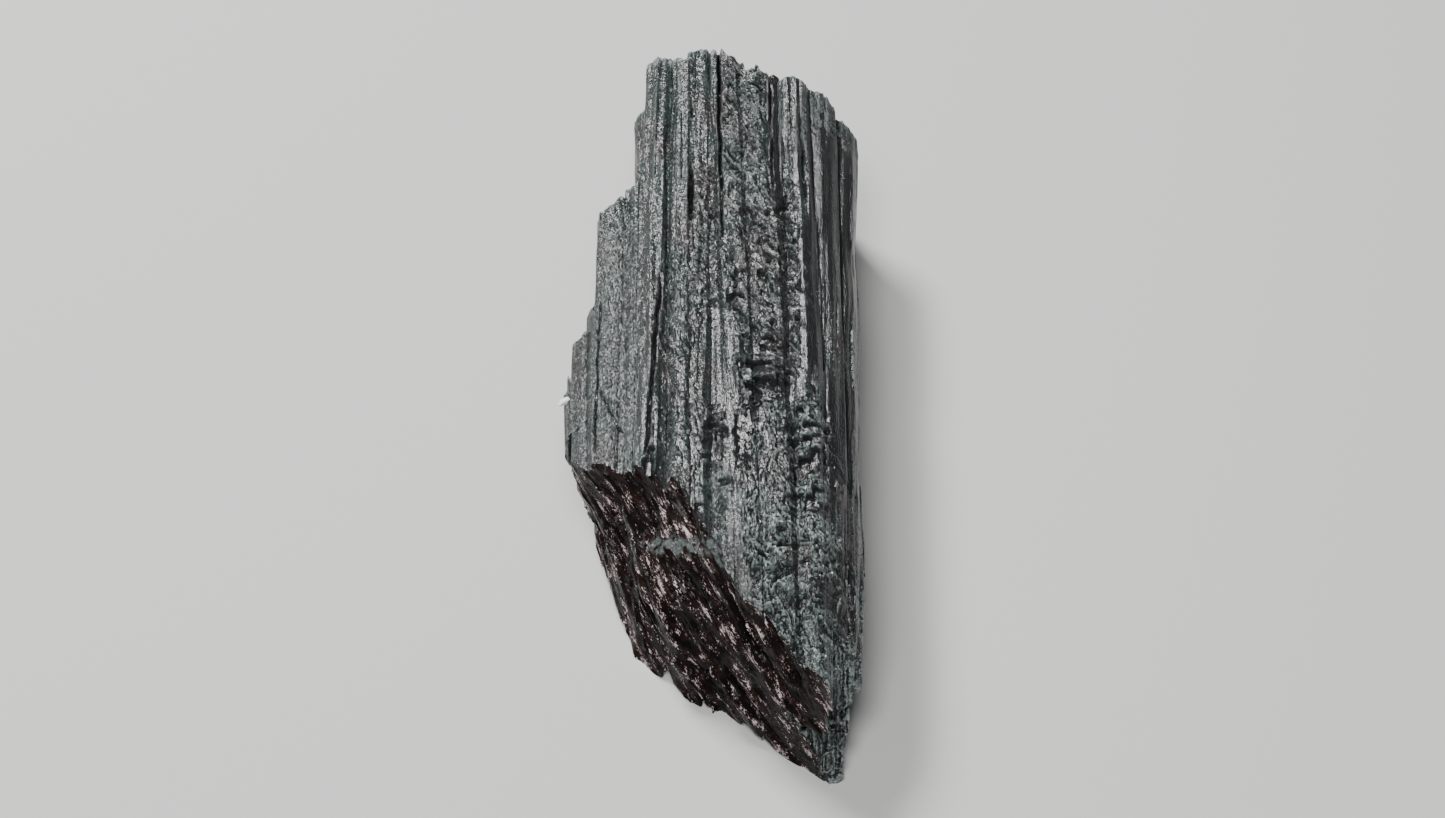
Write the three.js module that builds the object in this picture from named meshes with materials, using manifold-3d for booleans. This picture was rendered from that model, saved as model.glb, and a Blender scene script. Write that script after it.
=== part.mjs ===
// A hand specimen of black tourmaline: a fan of long ribbed crystals that grew side by side and
// into each other, so that they are one solid. It lies on its flattest side. The crystals run
// along Y. The far end, +Y, is broken off in steps, one per crystal. The near end is one steep
// break that crosses the fan slantwise and leaves it with a point at the right. A grain of pale
// feldspar sits on the left flank.
//
// Units are millimetres, +Z is up, and the origin is under the middle of the specimen.
import * as THREE from "three";
import { mergeVertices } from "three/addons/utils/BufferGeometryUtils.js";
import Module from "manifold-3d";

const wasm = await Module();
wasm.setup();

// ---------------------------------------------------------------- driving dimensions

const FAR_STATION = 30; // the two places along Y at which each crystal's x is given
const NEAR_STATION = -30;
const BREAK_END = -46; // crystals run on to here, and the near break then cuts them off
const TAPER_START = -22; // from here to the point, the fan's upper side falls away
const TAPER_END = -39;
const TAPER_DROP = 6; // how far it has fallen at the point
const BASE_Z = 0; // the plane that the underside's worn ribs all meet
const ROW_Y = 6.5; // distance between the rings of corners along a smooth crystal
const ROUGH_ROW_Y = 1.9; // and along one whose faces are etched into scales
const CORNERS = 14; // corners round a crystal's section
const SQUARENESS = 3.6; // 2 would make the section an ellipse, and more makes it boxier
const RIB = 0.13; // how far every other corner stands out, as the growth ribs do
const WANDER = 0.25; // how far a ring strays from its crystal's straight line
const POINT_LEAN = 0.43; // how far back the point's broken end leans for each millimetre of height
const SCALE_RELIEF = 0.34; // how far an etched crystal's corners stray on their own
const END_RELIEF = 0.9; // how rough the broken far ends are

// Each crystal: x at the far and near stations, z of its middle, half width, half height, how far
// its section is turned in degrees, the y of its far end, how steeply that end is broken across x
// and z, whether its faces are etched, and the y of its near end where it stops short of the break.
const CRYSTALS = [
  // the upper side, from left to right
  { x: [-13.3, -12.9], z: 10.0, w: 1.6, h: 4.3, turn: 12, far: 3.6, slant: [0.5, 0.3] },
  { x: [-12.1, -11.8], z: 10.0, w: 1.3, h: 5.3, turn: 8, far: 6.6, slant: [0.2, 0.3] },
  { x: [-10.7, -10.6], z: 12.2, w: 1.5, h: 4.2, turn: 9, far: 18.6, slant: [0.6, 0.2] },
  { x: [-9.1, -9.0], z: 12.8, w: 1.6, h: 4.2, turn: -4, far: 20.5, slant: [-0.1, 0.3] },
  { x: [-7.6, -7.8], z: 13.4, w: 0.9, h: 3.6, turn: 0, far: 31.6, slant: [0.4, 0.2] },
  { x: [-5.7, -6.3], z: 14.9, w: 1.4, h: 4.3, turn: 12, far: 37.0, slant: [0.2, 0.1] },
  { x: [-4.0, -4.3], z: 15.4, w: 1.2, h: 4.4, turn: -6, far: 37.7, slant: [0.1, -0.1] },
  { x: [-1.9, -2.2], z: 15.4, w: 1.5, h: 4.3, turn: 5, far: 38.1, slant: [-0.1, 0.1] },
  { x: [-0.6, 0.4], z: 15.5, w: 1.5, h: 4.5, turn: -8, far: 13.5, slant: [0.2, 0.5], etched: true },
  { x: [0.6, 2.7], z: 15.5, w: 1.6, h: 4.8, turn: 4, far: 37.0, slant: [-0.2, 0.1], etched: true },
  { x: [3.2, 5.0], z: 15.3, w: 2.1, h: 4.9, turn: -3, far: 36.0, slant: [-0.2, -0.1], etched: true },
  { x: [5.3, 6.6], z: 14.6, w: 1.0, h: 4.3, turn: 0, far: 35.1, slant: [-0.3, 0.2] },
  { x: [7.0, 7.8], z: 14.7, w: 1.4, h: 4.7, turn: -8, far: 34.3, slant: [-0.3, 0.1], etched: true },
  { x: [9.1, 9.0], z: 13.2, w: 1.5, h: 4.8, turn: -14, far: 33.2, slant: [-0.4, 0.2], near: -33.4 },
  { x: [10.8, 10.1], z: 11.5, w: 1.4, h: 4.7, turn: -22, far: 32.0, slant: [-0.5, 0.2], near: -34.6 },
  // the right flank, from the top down
  { x: [11.9, 10.6], z: 9.4, w: 1.4, h: 2.6, turn: -16, far: 30.6, slant: [-0.4, 0.1], near: -34.8 },
  { x: [12.4, 11.0], z: 7.0, w: 1.2, h: 1.7, turn: 14, far: 27.2, slant: [-0.3, 0.4], near: -35.8 },
  { x: [12.1, 10.7], z: 5.0, w: 1.4, h: 1.9, turn: -10, far: 29.4, slant: [-0.2, 0.2], near: -36.6 },
  { x: [11.4, 10.3], z: 2.6, w: 1.6, h: 1.7, turn: 24, far: 25.6, slant: [-0.3, 0.5], near: -37.4 },
  // the underside, from right to left
  { x: [10.0, 9.3], z: 3.2, w: 2.1, h: 3.5, turn: 15, far: 31.4, slant: [-0.2, 0.3], near: -37.6 },
  { x: [6.2, 6.3], z: 2.9, w: 2.5, h: 3.3, turn: 3, far: 34.6, slant: [0.1, 0.4], near: -38.2 },
  { x: [2.6, 3.2], z: 3.7, w: 1.7, h: 3.3, turn: -9, far: 33.1, slant: [0.3, 0.2] },
  { x: [-0.2, 0.4], z: 3.2, w: 2.2, h: 3.7, turn: -2, far: 35.9, slant: [-0.1, 0.3] },
  { x: [-3.7, -3.3], z: 3.4, w: 2.3, h: 3.6, turn: -6, far: 33.8, slant: [0.2, 0.3] },
  { x: [-7.2, -7.5], z: 3.8, w: 2.4, h: 4.0, turn: -5, far: 21.5, slant: [0.3, 0.4] },
  { x: [-10.8, -10.6], z: 4.8, w: 2.1, h: 4.1, turn: -16, far: 7.0, slant: [0.5, 0.4] },
  // the heart of the fan
  { x: [-4.2, -4.4], z: 9.3, w: 3.3, h: 5.8, turn: -6, far: 35.4, slant: [0.1, 0.1] },
  { x: [0.6, 0.4], z: 9.6, w: 3.4, h: 6.2, turn: 5, far: 36.6, slant: [0.1, -0.1] },
  { x: [4.9, 4.0], z: 9.2, w: 3.3, h: 6.4, turn: -4, far: 34.2, slant: [-0.2, 0.1], near: -35.0 },
  { x: [8.8, 8.0], z: 8.0, w: 3.0, h: 5.6, turn: 4, far: 32.6, slant: [-0.2, 0.1], near: -35.2 },
  { x: [-8.7, -8.7], z: 8.6, w: 3.3, h: 5.4, turn: 0, far: 17.2, slant: [0.3, 0.2] },
];

// The near break runs between its upper edge and its foot, each [x, y, z] from left to right.
const BREAK_EDGE = [
  [-18, -11.6, 13], [-13.6, -12.7, 15], [-9.6, -13.8, 17], [-5.6, -16.4, 20],
  [-1.5, -22.5, 20], [2.2, -28.8, 19.5], [6.0, -33.2, 17], [9.3, -36.2, 12.5], [14, -42.5, 11],
];
const BREAK_FOOT = [
  [-16, -8, 0], [-13.0, -12.6, 0], [-10.9, -17.4, 0], [-8.2, -24.0, 0],
  [-3.8, -28.4, 0], [0.6, -31.2, 0], [5.4, -35.4, 0], [9.8, -38.9, 0], [14, -43.5, 0],
];
const BREAK_CELLS = [24, 12]; // facets along the break and down it
const BREAK_ROUGHNESS = 0.65;
const BREAK_OUT = new THREE.Vector3(-0.73, -0.68, 0); // the way that the break faces

// A shelf stands out of the break, between two shares of its length. It lies a share of the break's
// height below the upper edge, less and less towards the right.
const SHELF = { from: 0.36, to: 0.66, depth: [0.42, 0.03], reach: 1.7 };

// Hollows where small grains have dropped out: [x, y, z] of the middle, half sizes, and a turn.
const HOLLOWS = [
  { at: [4.2, -2.0, 20.9], size: [1.6, 2.5, 1.5], turn: 0.5 },
  { at: [4.7, 2.6, 20.9], size: [1.2, 1.7, 1.2], turn: 0.7 },
  { at: [1.5, -10.5, 20.8], size: [0.8, 4.6, 1.7], turn: 0.05 },
  { at: [-3.1, 27.5, 20.1], size: [0.7, 4.6, 1.2], turn: 0 },
  { at: [-1.6, -12.5, 20.5], size: [1.5, 2.6, 1.0], turn: 0.2 },
  { at: [6.2, -9.0, 20.4], size: [1.2, 1.9, 1.0], turn: 0.6 },
  { at: [-9.8, 3.4, 17.7], size: [0.8, 2.9, 0.9], turn: 0.3 },
];

// Blunt knobs left on the flanks where a layer above has broken away.
const KNOBS = [
  { at: [11.3, -18.0, 8.6], size: [1.5, 4.6, 4.0], turn: 0.03 },
  { at: [12.1, 24.0, 8.8], size: [1.5, 4.4, 3.6], turn: -0.03 },
  { at: [11.9, 8.6, 7.6], size: [1.6, 5.6, 3.4], turn: 0 },
  { at: [-13.5, -5.6, 8.4], size: [1.6, 5.2, 4.4], turn: 0.05 },
];

const GRAIN_AT = [-15.9, -5.2, 13.3];
const GRAIN_SIZE = [0.5, 0.34, 0.4];
const GRAIN_TURN = 0.6;

// The middle of the specimen's bounding box in the coordinates above, which becomes x = y = 0.
const MIDDLE = [-1.24, -0.37];

// ---------------------------------------------------------------- helpers

const { lerp, smoothstep, clamp, degToRad } = THREE.MathUtils;

// A repeatable number from -1 to 1 for a pair of whole numbers.
function scatter(i, j) {
  const s = Math.sin(i * 12.9898 + j * 78.233) * 43758.5453;
  return 2 * (s - Math.floor(s)) - 1;
}

function solidOf(geometry) {
  const bare = geometry.clone();
  bare.deleteAttribute("normal");
  bare.deleteAttribute("uv");
  const merged = mergeVertices(bare, 1e-4);
  const mesh = new wasm.Mesh({
    numProp: 3,
    vertProperties: new Float32Array(merged.attributes.position.array),
    triVerts: new Uint32Array(merged.index.array),
  });
  return new wasm.Manifold(mesh);
}

function geometryOf(solid) {
  const mesh = solid.getMesh();
  const geometry = new THREE.BufferGeometry();
  geometry.setAttribute("position", new THREE.BufferAttribute(mesh.vertProperties, 3));
  geometry.setIndex(new THREE.BufferAttribute(mesh.triVerts, 1));
  geometry.computeVertexNormals();
  return geometry;
}

// Moves every vertex of a geometry to where place(vertex) puts it.
function reshape(geometry, place) {
  const positions = geometry.attributes.position;
  const vertex = new THREE.Vector3();
  for (let i = 0; i < positions.count; i++) {
    vertex.fromBufferAttribute(positions, i);
    place(vertex);
    positions.setXYZ(i, vertex.x, vertex.y, vertex.z);
  }
  return geometry;
}

// How far the fan's upper side has fallen at this y: nothing along most of its length.
function taper(y) {
  return TAPER_DROP * smoothstep(-y, -TAPER_START, -TAPER_END);
}

// A point on a line of given points, at a share s of its length counted in points.
function along(points, s) {
  const place = clamp(s, 0, 1) * (points.length - 1);
  const i = Math.min(Math.floor(place), points.length - 2);
  return new THREE.Vector3(...points[i]).lerp(new THREE.Vector3(...points[i + 1]), place - i);
}

// ---------------------------------------------------------------- the crystals

// A crystal's section: a rounded box, turned, with every other corner standing out as a rib.
function section(w, h, turn, index) {
  const corners = Array.from({ length: CORNERS }, (_, k) => {
    const angle = (2 * Math.PI * (k + 0.5 + 0.25 * scatter(index, k))) / CORNERS;
    const [c, s] = [Math.cos(angle), Math.sin(angle)];
    const boxed = (Math.abs(c) ** SQUARENESS + Math.abs(s) ** SQUARENESS) ** (-1 / SQUARENESS);
    const rib = (k % 2 ? RIB : -RIB) * (0.6 + 0.4 * scatter(index, k + 40));
    const corner = new THREE.Vector2((w * boxed + rib) * c, (h * boxed + rib) * s);
    return corner.rotateAround(new THREE.Vector2(), degToRad(turn));
  });
  return new THREE.Shape(corners);
}

// One crystal: its section carried from its far end to its near end along a line that wanders a
// little. The far end is a slanting break, and an etched crystal's faces are scaly.
function crystal({ x, z, w, h, turn, far, slant, etched = false, near = BREAK_END }, index) {
  const length = far - near;
  const steps = Math.round(length / (etched ? ROUGH_ROW_Y : ROW_Y));
  const shape = section(w, h, turn, index);
  const prism = new THREE.ExtrudeGeometry(shape, { depth: length, steps, bevelEnabled: false });
  prism.rotateX(Math.PI / 2);
  return solidOf(
    reshape(prism, (p) => {
      const row = Math.round((-p.y / length) * steps);
      const corner = Math.round(Math.atan2(p.z, p.x) * 5) + 20;
      const y = far + p.y;
      const lean = (FAR_STATION - y) / (FAR_STATION - NEAR_STATION);
      const raised = smoothstep(z + p.z, 4, 14);
      const scales = etched ? SCALE_RELIEF : 0;
      const offset = etched ? Math.floor(row / 3) : row;
      if (row === 0) p.y += slant[0] * p.x + slant[1] * p.z + END_RELIEF * scatter(index, corner);
      if (row === steps) p.y += POINT_LEAN * p.z + 0.5 * END_RELIEF * scatter(index, corner + 9);
      p.y += far;
      p.x += lerp(x[0], x[1], lean) + WANDER * scatter(index, offset);
      p.x += scales * scatter(row + 31 * index, corner + 3);
      p.z += z + 0.7 * WANDER * scatter(index + 50, offset) - taper(y) * raised;
      p.z += scales * scatter(row + 31 * index, corner);
    }),
  );
}

// ---------------------------------------------------------------- the near break

// How far the broken face stands out at a share s along it and a share t down it: the shelf, which
// runs out towards the foot, and the facets of a rough break.
function relief(s, t, i, j) {
  const place = (s - SHELF.from) / (SHELF.to - SHELF.from);
  const below = place > 0 && place < 1 && t > lerp(...SHELF.depth, place);
  const shelf = below ? SHELF.reach * (1 - smoothstep(t, 0.6, 1)) : 0;
  return shelf + BREAK_ROUGHNESS * scatter(i, j + 7);
}

// Everything in front of the break: a block whose inner face is the broken face.
function breakBlock() {
  const [across, down] = BREAK_CELLS;
  const block = new THREE.BoxGeometry(1, 1, 1, across, down, 1);
  return solidOf(
    reshape(block, (p) => {
      const i = Math.round((p.x + 0.5) * across);
      const j = Math.round((0.5 - p.y) * down);
      const s = i / across;
      const t = -0.25 + (1.5 * j) / down;
      const out = p.z > 0 ? 50 : relief(s, t, i, j);
      p.copy(along(BREAK_EDGE, s)).lerp(along(BREAK_FOOT, s), t);
      p.addScaledVector(BREAK_OUT, out);
    }),
  );
}

// ---------------------------------------------------------------- lumps and hollows

// A many-sided nugget with uneven corners.
function nugget({ at, size, turn }, index) {
  const ball = new THREE.IcosahedronGeometry(1, 1);
  ball.deleteAttribute("uv");
  ball.deleteAttribute("normal");
  const merged = mergeVertices(ball, 1e-4);
  let corner = 0;
  reshape(merged, (p) => p.multiplyScalar(1 + 0.14 * scatter(index + 90, corner++)));
  merged.scale(...size).rotateZ(turn).translate(...at);
  return solidOf(merged);
}

function halfSpaceBelow(z) {
  return solidOf(new THREE.BoxGeometry(80, 160, 40).translate(0, 0, z - 20));
}

// ---------------------------------------------------------------- the specimen

function tourmaline() {
  const nuggets = (list, first) => list.map((one, i) => nugget(one, first + i));
  const grown = [...CRYSTALS.map(crystal), ...nuggets(KNOBS, 0)];
  const broken = [...nuggets(HOLLOWS, 20), breakBlock(), halfSpaceBelow(BASE_Z)];
  const joined = grown.reduce((whole, next) => whole.add(next));
  const cut = broken.reduce((whole, next) => whole.subtract(next), joined);
  return cut.decompose().reduce((a, b) => (a.volume() > b.volume() ? a : b));
}

const BLACK = new THREE.MeshStandardMaterial({ color: 0x1c1f20, roughness: 0.4, metalness: 0 });
const PALE = new THREE.MeshStandardMaterial({ color: 0xe9e6de, roughness: 0.5, metalness: 0 });

const group = new THREE.Group();
group.position.set(-MIDDLE[0], -MIDDLE[1], 0);

const specimen = new THREE.Mesh(geometryOf(tourmaline()), BLACK);
specimen.name = "black_tourmaline";
group.add(specimen);

const grainSpec = { at: GRAIN_AT, size: GRAIN_SIZE, turn: GRAIN_TURN };
const grain = new THREE.Mesh(geometryOf(nugget(grainSpec, 60)), PALE);
grain.name = "feldspar_grain";
group.add(grain);

export default group;
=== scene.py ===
"""A black tourmaline fan: long ribbed crystals grown into one another, broken at both ends.

The shapes are worked out in millimetres, with +Y along the crystals and +Z up, in the frame of
the crystals' own table. They are put into metres, and into the part's frame, as they are made.
"""
import math

import bpy
import numpy as np
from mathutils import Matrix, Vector


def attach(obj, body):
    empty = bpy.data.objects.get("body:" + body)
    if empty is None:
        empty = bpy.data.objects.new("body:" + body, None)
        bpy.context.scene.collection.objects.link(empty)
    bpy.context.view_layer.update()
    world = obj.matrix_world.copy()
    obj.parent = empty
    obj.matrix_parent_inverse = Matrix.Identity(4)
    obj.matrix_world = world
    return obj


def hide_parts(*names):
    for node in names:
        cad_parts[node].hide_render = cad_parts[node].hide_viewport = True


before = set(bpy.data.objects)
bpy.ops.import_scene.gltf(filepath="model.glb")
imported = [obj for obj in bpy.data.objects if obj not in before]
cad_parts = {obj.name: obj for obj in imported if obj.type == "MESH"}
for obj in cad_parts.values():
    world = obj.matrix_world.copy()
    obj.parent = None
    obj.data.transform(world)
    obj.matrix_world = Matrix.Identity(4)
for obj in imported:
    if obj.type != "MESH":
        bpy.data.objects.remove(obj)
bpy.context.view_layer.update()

# ---------------------------------------- the intergrown crystals
# The fan is schorl, black tourmaline. It is one solid of long prisms that grew side by side, each
# a rounded bar with flat faces, fine ribs along it and its own broken far end. They are closed
# surfaces here, joined into one in a later section.

MIDDLE = np.array([-1.24, -0.37, 0.0])  # the middle of the part's box, in the table's frame
METRES = 0.001

FAR_STATION, NEAR_STATION = 30.0, -30.0  # the places along y at which each crystal's x is given
BREAK_END = -44.0  # the crystals run on to here, and the near break then cuts them off
TAPER_START, TAPER_END, TAPER_DROP = 22.0, 39.0, 6.0  # how the upper side falls to the point
POINT_LEAN = 0.43  # how far back the point leans for each millimetre of height

CORNERS = 14  # corners round a crystal's section, with flat faces between them
SQUARENESS = 4.6  # 2 would make the section an ellipse, and more makes it boxier
CORNER_RIB = 0.13  # how far every other corner stands out
HEART = (-1.0, 9.0)  # x and z of the middle of the fan, which its crystals face away from
HIDDEN_SHARE = 0.4  # how many of its points a crystal keeps on its hidden side
END_ZONE = 5.0  # length at the far end over which the rings lean into the slanting break
NEAR_ZONE = 3.0  # the same at the near end, where they lean as the point does
SIDEWAYS = 0.35  # how much a crystal's place across counts in the way it faces, next to its height
TANGENT_REACH = 0.3  # how far to each side the direction of a profile is taken from

# Each crystal's x at the far and near stations, z, half width, half height, turn in degrees, y of
# its far end, that end's lean across x and z, and y of its near end where the break leaves it one.
LEFT_BLOCKS = [
    ((-13.3, -12.9), 10.0, 1.6, 4.3, 5, 3.6, (0.5, 0.3)),
    ((-12.1, -11.8), 10.0, 1.3, 5.3, 2, 6.6, (0.2, 0.25)),
    ((-10.6, -10.5), 12.3, 2.3, 4.2, 1, 19.4, (0.45, 0.2)),
    ((-8.9, -8.9), 12.9, 1.3, 4.1, -2, 20.9, (0.1, 0.3)),
]
UPPER_SIDE = [
    ((-7.6, -7.8), 13.4, 0.9, 3.6, 0, 31.6, (0.4, 0.2)),
    ((-5.7, -6.3), 14.9, 1.4, 4.3, 12, 37.0, (0.2, 0.1)),
    ((-4.0, -4.3), 15.4, 1.2, 4.4, -6, 37.7, (0.1, -0.1)),
    ((-1.9, -2.2), 15.4, 1.5, 4.3, 5, 38.1, (-0.1, 0.1)),
    ((-0.6, 0.4), 15.3, 1.5, 4.5, -8, 25.5, (0.2, 0.5)),
    ((0.6, 2.7), 15.5, 1.6, 4.8, 4, 37.0, (-0.2, 0.1)),
    ((3.2, 5.0), 15.3, 2.1, 4.9, -3, 36.0, (-0.2, -0.1)),
    ((5.3, 6.6), 14.6, 1.0, 4.3, 0, 35.1, (-0.3, 0.2)),
    ((7.0, 7.8), 14.7, 1.4, 4.7, -8, 34.3, (-0.3, 0.1)),
    ((8.2, 8.6), 14.3, 0.9, 4.5, -10, -4.5, (-0.5, 0.4), -33.0),
    ((9.1, 9.0), 13.2, 1.5, 4.8, -14, 33.2, (-0.4, 0.2), -33.4),
    ((10.8, 10.1), 11.5, 1.4, 4.7, -22, 32.0, (-0.5, 0.2), -34.6),
]
FLANK_AND_UNDERSIDE = [
    ((11.9, 10.6), 9.4, 1.4, 2.6, -16, 30.6, (-0.4, 0.1), -34.8),
    ((12.4, 11.0), 7.0, 1.2, 1.7, 14, 27.2, (-0.3, 0.4), -35.8),
    ((12.1, 10.7), 5.0, 1.4, 1.9, -10, 29.4, (-0.2, 0.2), -36.6),
    ((11.4, 10.3), 2.6, 1.6, 1.7, 24, 25.6, (-0.3, 0.5), -37.4),
    ((10.0, 9.3), 3.2, 2.1, 3.5, 15, 31.4, (-0.2, 0.3), -37.6),
    ((6.2, 6.3), 2.9, 2.5, 3.3, 3, 34.6, (0.1, 0.4), -38.2),
    ((2.6, 3.2), 3.7, 1.7, 3.3, -9, 33.1, (0.3, 0.2)),
    ((-0.2, 0.4), 3.2, 2.2, 3.7, -2, 35.9, (-0.1, 0.3)),
    ((-3.7, -3.3), 3.4, 2.3, 3.6, -6, 33.8, (0.2, 0.3)),
    ((-7.2, -7.5), 3.8, 2.4, 4.0, -5, 21.5, (0.3, 0.4)),
    ((-10.9, -10.1), 4.8, 2.1, 4.1, -16, 7.0, (0.5, -0.2)),
]
# Thick bars that fill the heart of the fan and show only at its broken ends.
HEART_CRYSTALS = [
    ((-4.2, -4.4), 9.3, 3.3, 5.8, -6, 35.4, (0.1, 0.1)),
    ((0.6, 0.4), 9.6, 3.4, 6.2, 5, 36.6, (0.1, -0.1)),
    ((4.9, 4.0), 9.2, 3.3, 6.4, -4, 34.2, (-0.2, 0.1), -35.0),
    ((8.8, 8.0), 8.0, 3.0, 5.6, 4, 32.6, (-0.2, 0.1), -35.2),
    ((-8.7, -8.7), 8.6, 3.3, 5.4, 0, 17.2, (0.3, 0.2)),
]


def scatter(*keys):
    """Repeatable numbers from 0 to 1: what is left after the point of a large sine of the keys."""
    total = sum(key * scale for key, scale in zip(keys, (12.9898, 78.233, 37.719, 4.1414)))
    return np.modf(np.abs(np.sin(total)) * 43758.5453)[0]


def ease(low, high, value):
    """0 below low, 1 above high, and 3s^2 - 2s^3 of the share s of the way between them."""
    share = np.clip((value - low) / (high - low), 0.0, 1.0)
    return share * share * (3 - 2 * share)


def swell(x, y, seed):
    """Smooth noise from -1 to 1: random values at whole numbers of x and y, eased between them."""
    i, j = np.floor(x), np.floor(y)
    across, up = ease(0, 1, x - i), ease(0, 1, y - j)
    low = scatter(i, j, seed) * (1 - across) + scatter(i + 1, j, seed) * across
    high = scatter(i, j + 1, seed) * (1 - across) + scatter(i + 1, j + 1, seed) * across
    return 2 * (low * (1 - up) + high * up) - 1


def near_cells(x, y, seed):
    """For each of the nine grid cells round each place: the steps from the cell's scattered point
    to the place, and three numbers from 0 to 1 of the cell's own."""
    i, j = np.floor(x), np.floor(y)
    for column in (i - 1, i, i + 1):
        for row in (j - 1, j, j + 1):
            own = [scatter(column, row, seed + k) for k in range(5)]
            yield x - column - own[0], y - row - own[1], own[2], own[3], own[4]


def flakes(x, y, seed, tilt=1.0, fall=0.0, sharp=12.0):
    """Flat flakes, about -1 to 1, each at its own height and slope, that meet in steep steps: the
    mean of the near cells' flakes, weighed by exp(-sharp d^2). A fall slopes them alike along y."""
    total, weights = np.zeros(np.shape(x)), np.full(np.shape(x), 1e-9)
    for dx, dy, own_x, own_y, own_height in near_cells(x, y, seed):
        weight = np.exp(-sharp * (dx * dx + dy * dy))
        slopes = (2 * own_x - 1) * dx + (2 * own_y - 1) * dy
        total += weight * (2 * own_height - 1 + tilt * slopes - fall * dy)
        weights += weight
    return total / weights


def facets(x, y, seed, tilt=0.8, lift=0.0):
    """Small flat faces, about -1 to 1, that meet in edges: each cell has a four-sided roof round
    its point, tilted its own way, and each place has the highest of the roofs over it. A lift
    makes the low-y side of each roof steep and its high-y side gentle, as on lapped scales."""
    top = np.full(np.shape(x), -9.0)
    for dx, dy, own_x, own_y, own_height in near_cells(x, y, seed):
        slopes = (2 * own_x - 1) * dx + (2 * own_y - 1) * dy
        roof = own_height - 1.5 * np.abs(dx) - 1.5 * np.abs(dy) + tilt * slopes + lift * dy
        top = np.maximum(top, roof)
    return 1.2 * top - 0.2


def taper(y):
    """How far the upper side has fallen at y: nothing along most of the fan."""
    return TAPER_DROP * ease(TAPER_START, TAPER_END, -y)


# How frosted the surface is, from 0, smooth and black, to 1, dull and grey. Each soft-edged patch
# has its middle x and y, half sizes, lean across x for each millimetre of y, and frosting, and is
# laid over the ones before it.
PLAIN = 0.45
FROSTED = [
    (-14.0, -5.0, 1.8, 13.0, 0.0, 1.0),
    (-10.4, 1.0, 2.3, 19.0, 0.0, 1.0),
    (7.0, -28.0, 6.5, 8.5, 0.0, 0.85),
    (-7.5, 8.0, 0.6, 24.0, 0.0, 0.45),
    (-4.9, 20.0, 2.0, 20.0, 0.005, 0.7),
    (-1.9, 26.0, 1.2, 14.0, 0.0, 0.6),
    (2.0, 26.0, 2.6, 12.0, -0.03, 0.7),
    (7.4, -14.5, 3.2, 6.5, 0.0, 0.65),
    (5.4, 27.0, 0.75, 10.5, -0.02, 0.0),
    (7.4, 27.0, 0.7, 8.0, -0.02, 0.15),
    (10.2, 29.0, 3.0, 3.8, 0.0, 1.0),
    (9.6, 20.0, 1.0, 9.0, 0.0, 0.05),
    (11.4, 16.0, 2.2, 13.0, 0.02, 0.05),
    (8.6, 6.0, 1.1, 10.0, 0.0, 0.1),
    (11.6, -12.0, 1.6, 9.5, 0.0, 0.0),
    (12.1, -20.0, 1.4, 4.0, 0.0, 0.75),
    (0.9, -13.0, 2.4, 4.6, 0.0, 0.3),
    (1.9, -13.4, 0.8, 4.2, 0.0, 0.0),
    (-0.6, -19.5, 1.6, 2.8, 0.0, 0.75),
    (6.9, -25.9, 1.4, 1.3, 0.0, 0.5),
    (6.1, -27.6, 1.2, 1.1, 0.0, 1.0),
    (9.4, -28.8, 1.3, 1.5, 0.0, 0.35),
    (11.6, -27.5, 1.0, 3.6, 0.0, 0.2),
]

# Where the frost is warmer or, under 0, greener than elsewhere, in the same form.
WARMED = [
    (6.9, -25.9, 1.4, 1.3, 0.0, 1.0),
    (6.1, -27.6, 1.2, 1.1, 0.0, -1.0),
    (-11.2, -12.0, 0.9, 0.8, 0.0, 1.0),
    (12.1, -20.0, 1.4, 4.0, 0.0, 0.5),
    (8.9, -33.6, 2.0, 2.6, 0.0, -0.6),
    (-1.9, 19.0, 1.2, 4.0, 0.0, 0.6),
]

# Where the surface glints more or, under 0, less than elsewhere, in the same form. Besides its
# gloss, its colour is painted paler there, or less pale under 0, as a painted highlight.
GLINTING = [
    (7.0, -15.0, 5.0, 8.5, 0.0, 1.6),
    (3.5, -16.5, 0.9, 8.0, 0.0, 2.2),
    (8.6, -27.0, 5.5, 8.5, 0.0, 2.0),
    (12.4, -12.0, 1.4, 14.0, 0.0, -0.4),
    (11.0, 17.0, 2.6, 14.0, 0.02, -0.6),
    (11.0, 29.0, 3.6, 4.6, 0.0, -2.2),
    (5.4, 27.0, 0.75, 10.5, -0.02, -1.0),
]

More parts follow.
